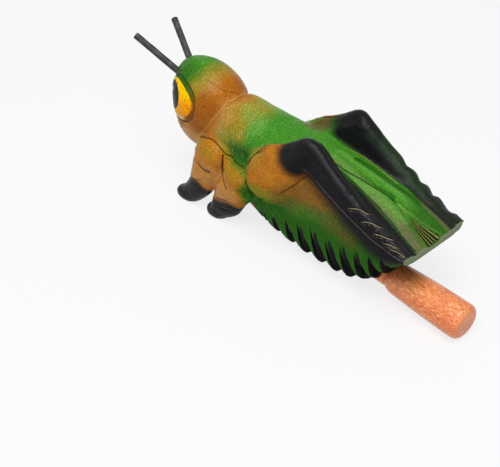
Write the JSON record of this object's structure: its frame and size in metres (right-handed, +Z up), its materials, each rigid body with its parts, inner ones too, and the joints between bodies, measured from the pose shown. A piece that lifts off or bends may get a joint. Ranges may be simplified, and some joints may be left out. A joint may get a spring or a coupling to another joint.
{
  "type": "grasshopper guiro",
  "caption": "Carved and painted wooden grasshopper guiro with scraping ridges across its belly, rod antennae and a turned scraper stick that is stored in a bore in its tail.",
  "frame": {"origin": "on the ground plane under the soles, midway between the antenna tips and the end of the stick's handle, on the mid plane", "axes": "+X towards the tail and the stick's handle, -Y towards the creature's left side, +Z up"},
  "size_m": [0.1897, 0.041, 0.077],
  "materials": {
    "painted_wood": "airbrushed green, ochre and black paint under satin lacquer",
    "black_rod": "matt black paint",
    "stained_stick": "reddish stain, satin"
  },
  "bodies": {
    "guiro": {"carved_body": "painted_wood", "antenna_left": "black_rod", "antenna_right": "black_rod"},
    "stick": {"scraper_stick": "stained_stick"}
  },
  "joints": [
    {"name": "stick_slide", "type": "slide", "parent": "guiro", "child": "stick", "axis": [0.9956, 0, -0.0941], "range_m": [0, 0.062]}
  ]
}
